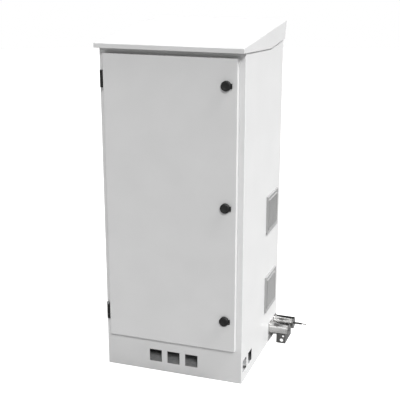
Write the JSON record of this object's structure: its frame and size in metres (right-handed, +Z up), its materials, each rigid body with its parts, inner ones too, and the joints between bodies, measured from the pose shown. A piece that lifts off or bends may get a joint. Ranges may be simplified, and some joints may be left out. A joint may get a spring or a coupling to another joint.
{
  "type": "roadside utility cabinet",
  "caption": "Free-standing white sheet-steel street cabinet with a sloping rain canopy, a hinged front door with quarter-turn locks, side filter vents and steel side fittings.",
  "frame": {"origin": "centre of the plinth's underside, on the ground", "axes": "+Z up, -Y out of the door, +X towards the wall with the vents"},
  "size_m": [0.757, 0.639, 1.431],
  "materials": {
    "white_paint": "light grey-white powder coat, satin, very fine orange peel",
    "black_plastic": "black glass-filled plastic, satin",
    "grey_plastic": "light grey moulded plastic, matt",
    "rubber": "black rubber, matt",
    "filter_fibre": "matted filter fibre",
    "stainless": "bright turned and brushed stainless steel",
    "zinc_plate": "zinc plated steel, dull",
    "brass": "plain brass bar",
    "red_plastic": "red moulded plastic"
  },
  "bodies": {
    "cabinet": {"body_shell": "white_paint", "base_frame": "white_paint", "floor_plate": "white_paint", "top_plate": "white_paint", "roof_canopy": "white_paint", "roof_rail_left": "white_paint", "roof_rail_right": "white_paint", "base_plate": "zinc_plate", "gland_plate": "zinc_plate", "mounting_plate": "zinc_plate", "din_rail": "zinc_plate", "hinge_upper_pin": "zinc_plate", "hinge_lower_pin": "zinc_plate", "cable_gland_left": "black_plastic", "cable_gland_right": "black_plastic", "fan_housing": "black_plastic", "terminal_stud_insulator": "rubber", "hinge_upper_body_leaf": "black_plastic", "vent_upper_cover": "grey_plastic", "vent_upper_base": "grey_plastic", "vent_upper_filter_mat": "filter_fibre", "hinge_lower_body_leaf": "black_plastic", "vent_lower_cover": "grey_plastic", "vent_lower_base": "grey_plastic", "vent_lower_filter_mat": "filter_fibre", "fitting_wall_plate": "stainless", "fitting_front_sleeve": "stainless", "fitting_front_cap": "stainless", "fitting_rear_sleeve": "stainless", "fitting_rear_cap": "stainless", "fitting_foot_bracket": "stainless", "terminal_stud": "stainless", "main_switch": "grey_plastic", "circuit_breaker": "grey_plastic", "terminal_block": "grey_plastic", "earth_bar": "brass"},
    "door": {"door_panel": "white_paint", "door_gasket": "rubber", "door_stiffener_left": "white_paint", "door_stiffener_right": "white_paint", "hinge_upper_door_leaf": "black_plastic", "hinge_lower_door_leaf": "black_plastic", "lock_upper_housing": "black_plastic", "lock_upper_nut": "zinc_plate", "lock_middle_housing": "black_plastic", "lock_middle_nut": "zinc_plate", "lock_lower_housing": "black_plastic", "lock_lower_nut": "zinc_plate"},
    "lock_upper_core": {"lock_upper_barrel": "zinc_plate", "lock_upper_cam": "zinc_plate"},
    "lock_upper_dust_cap": {"lock_upper_cap": "black_plastic"},
    "lock_middle_core": {"lock_middle_barrel": "zinc_plate", "lock_middle_cam": "zinc_plate"},
    "lock_middle_dust_cap": {"lock_middle_cap": "black_plastic"},
    "lock_lower_core": {"lock_lower_barrel": "zinc_plate", "lock_lower_cam": "zinc_plate"},
    "lock_lower_dust_cap": {"lock_lower_cap": "black_plastic"},
    "fan_rotor": {"fan_impeller": "black_plastic"},
    "switch_handle": {"main_switch_handle": "red_plastic"},
    "breaker_toggle": {"circuit_breaker_toggle": "black_plastic"}
  },
  "joints": [
    {"name": "door_swing", "type": "hinge", "parent": "cabinet", "child": "door", "pos_m": [-0.284, -0.298, 0.744], "axis": [0, 0, -1], "range_deg": [0, 120]},
    {"name": "lock_upper_turn", "type": "hinge", "parent": "door", "child": "lock_upper_core", "pos_m": [0.232, -0.295, 1.235], "axis": [0, 1, 0], "range_deg": [0, 90]},
    {"name": "lock_upper_cap_swing", "type": "hinge", "parent": "door", "child": "lock_upper_dust_cap", "pos_m": [0.2544, -0.3125, 1.235], "axis": [0, 0, 1], "range_deg": [0, 110]},
    {"name": "lock_middle_turn", "type": "hinge", "parent": "door", "child": "lock_middle_core", "pos_m": [0.232, -0.295, 0.759], "axis": [0, 1, 0], "range_deg": [0, 90]},
    {"name": "lock_middle_cap_swing", "type": "hinge", "parent": "door", "child": "lock_middle_dust_cap", "pos_m": [0.2544, -0.3125, 0.759], "axis": [0, 0, 1], "range_deg": [0, 110]},
    {"name": "lock_lower_turn", "type": "hinge", "parent": "door", "child": "lock_lower_core", "pos_m": [0.232, -0.295, 0.283], "axis": [0, 1, 0], "range_deg": [0, 90]},
    {"name": "lock_lower_cap_swing", "type": "hinge", "parent": "door", "child": "lock_lower_dust_cap", "pos_m": [0.2544, -0.3125, 0.283], "axis": [0, 0, 1], "range_deg": [0, 110]},
    {"name": "fan_spin", "type": "hinge", "parent": "cabinet", "child": "fan_rotor", "pos_m": [0.24, 0.14, 0.259], "axis": [1, 0, 0], "continuous": true},
    {"name": "main_switch_turn", "type": "hinge", "parent": "cabinet", "child": "switch_handle", "pos_m": [-0.154, 0.165, 0.98], "axis": [0, 1, 0], "range_deg": [0, 90]},
    {"name": "breaker_throw", "type": "hinge", "parent": "cabinet", "child": "breaker_toggle", "pos_m": [-0.0635, 0.1742, 0.98], "axis": [-1, 0, 0], "range_deg": [0, 64]}
  ]
}
